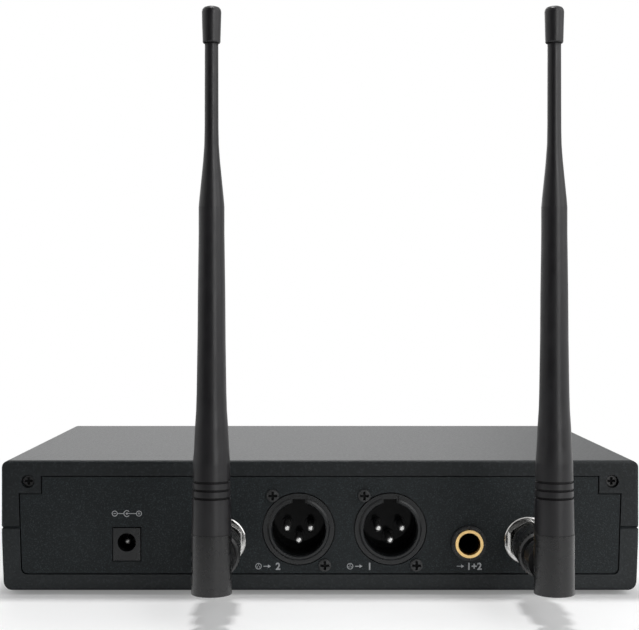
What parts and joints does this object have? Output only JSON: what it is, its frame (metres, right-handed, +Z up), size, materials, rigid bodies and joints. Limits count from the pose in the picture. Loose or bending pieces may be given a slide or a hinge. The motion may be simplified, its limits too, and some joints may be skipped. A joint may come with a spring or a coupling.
{
  "type": "wireless microphone receiver",
  "caption": "Half-rack wireless microphone receiver with elbowed rod antennas on rear bayonet jacks, XLR and jack outputs, front knobs, push buttons and a display window.",
  "frame": {"origin": "on the resting surface, under the middle of the case's plan", "axes": "+Z up; -Y out of the rear face with the connectors; +Y out of the front face with the controls; +X towards antenna jack A"},
  "size_m": [0.2154, 0.1971, 0.1879],
  "materials": {
    "case_plastic": "satin, fine grain",
    "panel_paint": "fine textured paint",
    "fascia_plastic": "satin",
    "window_acrylic": "smoked, polished",
    "display_glass": "dull glass over a metal frame",
    "board": "lacquered circuit board",
    "tinned_steel": "tinned sheet",
    "black_screw": "black oxide",
    "zinc_screw": "zinc plated",
    "foot_rubber": "matte",
    "socket_plastic": "moulded",
    "nickel": "bright nickel",
    "silver_pin": "silver plated",
    "gold": "gold plated",
    "ptfe": "cream, waxy",
    "knob_plastic": "satin",
    "key_plastic": "satin",
    "antenna_metal": "black, satin plated",
    "rod_rubber": "satin, moulded skin"
  },
  "bodies": {
    "case": {"top_cover": "case_plastic", "bottom_case": "case_plastic", "rear_panel": "panel_paint", "front_panel": "fascia_plastic", "display_window": "window_acrylic", "lcd_module": "display_glass", "front_board": "board", "main_board": "board", "rf_shields": "tinned_steel", "rear_screws": "black_screw", "case_screws": "black_screw", "board_screws": "zinc_screw", "rubber_feet": "foot_rubber", "dc_housing": "socket_plastic", "dc_pin": "silver_pin", "dc_spring": "silver_pin", "xlr_a_shell": "socket_plastic", "xlr_b_shell": "socket_plastic", "xlr_pins": "silver_pin", "xlr_screws": "black_screw", "bnc_a_body": "nickel", "bnc_b_body": "nickel", "bnc_nuts": "nickel", "bnc_washers": "nickel", "bnc_insulators": "ptfe", "bnc_contacts": "gold", "out_body": "socket_plastic", "out_bushing": "gold", "out_nut": "socket_plastic", "pot_a": "tinned_steel", "pot_b": "tinned_steel", "power_switch": "socket_plastic", "tact_switches": "socket_plastic"},
    "volume_a": {"shaft_a": "nickel", "knob_a": "knob_plastic"},
    "volume_b": {"shaft_b": "nickel", "knob_b": "knob_plastic"},
    "power_button": {"power_button": "knob_plastic"},
    "key_a_up": {"key_a_up": "key_plastic"},
    "key_a_set": {"key_a_set": "key_plastic"},
    "key_b_up": {"key_b_up": "key_plastic"},
    "key_b_set": {"key_b_set": "key_plastic"},
    "antenna_a_plug": {"ant_a_core": "nickel", "ant_a_contact": "gold"},
    "antenna_a_collar": {"ant_a_collar": "antenna_metal"},
    "antenna_a_base": {"ant_a_base": "antenna_metal"},
    "antenna_a_rod": {"ant_a_yoke": "antenna_metal", "ant_a_pin": "black_screw", "ant_a_rod": "rod_rubber", "ant_a_cap": "rod_rubber"},
    "antenna_b_plug": {"ant_b_core": "nickel", "ant_b_contact": "gold"},
    "antenna_b_collar": {"ant_b_collar": "antenna_metal"},
    "antenna_b_base": {"ant_b_base": "antenna_metal"},
    "antenna_b_rod": {"ant_b_yoke": "antenna_metal", "ant_b_pin": "black_screw", "ant_b_rod": "rod_rubber", "ant_b_cap": "rod_rubber"}
  },
  "joints": [
    {"name": "volume_a_turn", "type": "hinge", "parent": "case", "child": "volume_a", "pos_m": [0.084, 0.0668, 0.0237], "axis": [0, 1, 0], "range_deg": [-150, 150]},
    {"name": "volume_b_turn", "type": "hinge", "parent": "case", "child": "volume_b", "pos_m": [-0.064, 0.0668, 0.0237], "axis": [0, 1, 0], "range_deg": [-150, 150]},
    {"name": "power_push", "type": "slide", "parent": "case", "child": "power_button", "axis": [0, -1, 0], "range_m": [0, 0.0015], "stiffness_N_per_m": 800, "springref_m": -0.001},
    {"name": "key_a_up_push", "type": "slide", "parent": "case", "child": "key_a_up", "axis": [0, -1, 0], "range_m": [0, 0.0005], "stiffness_N_per_m": 1500, "springref_m": -0.0006},
    {"name": "key_a_set_push", "type": "slide", "parent": "case", "child": "key_a_set", "axis": [0, -1, 0], "range_m": [0, 0.0005], "stiffness_N_per_m": 1500, "springref_m": -0.0006},
    {"name": "key_b_up_push", "type": "slide", "parent": "case", "child": "key_b_up", "axis": [0, -1, 0], "range_m": [0, 0.0005], "stiffness_N_per_m": 1500, "springref_m": -0.0006},
    {"name": "key_b_set_push", "type": "slide", "parent": "case", "child": "key_b_set", "axis": [0, -1, 0], "range_m": [0, 0.0005], "stiffness_N_per_m": 1500, "springref_m": -0.0006},
    {"name": "antenna_a_pull_off", "type": "slide", "parent": "case", "child": "antenna_a_plug", "axis": [0, -1, 0], "range_m": [0, 0.03]},
    {"name": "antenna_a_lock_turn", "type": "hinge", "parent": "antenna_a_plug", "child": "antenna_a_collar", "pos_m": [0.0703, -0.0792, 0.0184], "axis": [0, -1, 0], "range_deg": [0, 90]},
    {"name": "antenna_a_swivel", "type": "hinge", "parent": "antenna_a_plug", "child": "antenna_a_base", "pos_m": [0.0703, -0.0942, 0.0184], "axis": [0, 1, 0], "range_deg": [-12, 90]},
    {"name": "antenna_a_elbow", "type": "hinge", "parent": "antenna_a_base", "child": "antenna_a_rod", "pos_m": [0.0703, -0.1112, 0.0184], "axis": [1, 0, 0], "range_deg": [0, 90]},
    {"name": "antenna_b_pull_off", "type": "slide", "parent": "case", "child": "antenna_b_plug", "axis": [0, -1, 0], "range_m": [0, 0.03]},
    {"name": "antenna_b_lock_turn", "type": "hinge", "parent": "antenna_b_plug", "child": "antenna_b_collar", "pos_m": [-0.0331, -0.0792, 0.0184], "axis": [0, -1, 0], "range_deg": [0, 90]},
    {"name": "antenna_b_swivel", "type": "hinge", "parent": "antenna_b_plug", "child": "antenna_b_base", "pos_m": [-0.0331, -0.0942, 0.0184], "axis": [0, -1, 0], "range_deg": [-12, 90]},
    {"name": "antenna_b_elbow", "type": "hinge", "parent": "antenna_b_base", "child": "antenna_b_rod", "pos_m": [-0.0331, -0.1112, 0.0184], "axis": [1, 0, 0], "range_deg": [0, 90]}
  ]
}
